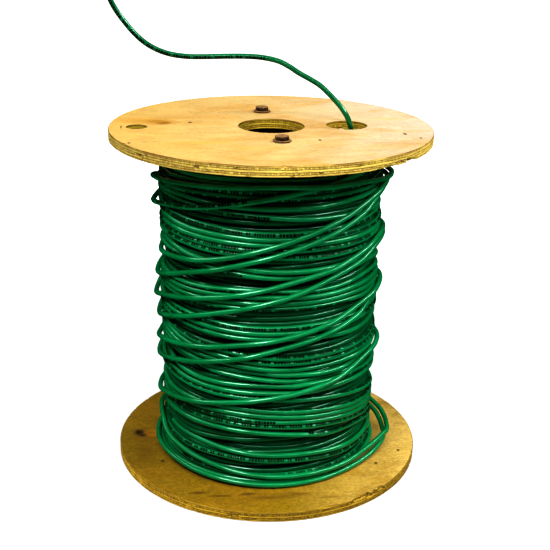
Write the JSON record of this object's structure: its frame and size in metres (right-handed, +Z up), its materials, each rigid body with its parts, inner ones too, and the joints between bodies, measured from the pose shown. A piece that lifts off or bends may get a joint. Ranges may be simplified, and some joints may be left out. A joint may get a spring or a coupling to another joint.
{
  "type": "wire spool",
  "caption": "Plywood spool of green insulated building wire, wound between two round flanges bolted over a core tube, with the free start end standing up out of the top.",
  "frame": {"origin": "centre of the bottom flange's underside, which the spool stands on", "axes": "+Z up along the spool's axis; +X from the axis towards the hole that the wire's start comes up through; the long bolts stand close to the Y axis"},
  "size_m": [0.2032, 0.2032, 0.3141],
  "materials": {
    "plywood": "sanded, unvarnished plywood with bare edges",
    "paperboard": "matte spiral-wound paperboard",
    "rusted_steel": "steel with thin brown rust",
    "zinc_steel": "dull zinc plate",
    "wire_jacket": "smooth glossy nylon jacket over green insulation",
    "bare_copper": "freshly cut solid copper"
  },
  "bodies": {
    "root": {"bottom_flange": "plywood", "top_flange": "plywood", "core_tube": "paperboard", "bolt_front": "rusted_steel", "washer_front": "rusted_steel", "tee_nut_front": "zinc_steel", "bolt_rear": "rusted_steel", "washer_rear": "rusted_steel", "tee_nut_rear": "zinc_steel", "wire_winding": "wire_jacket", "wire_tail": "wire_jacket", "tail_conductor": "bare_copper"}
  },
  "joints": []
}
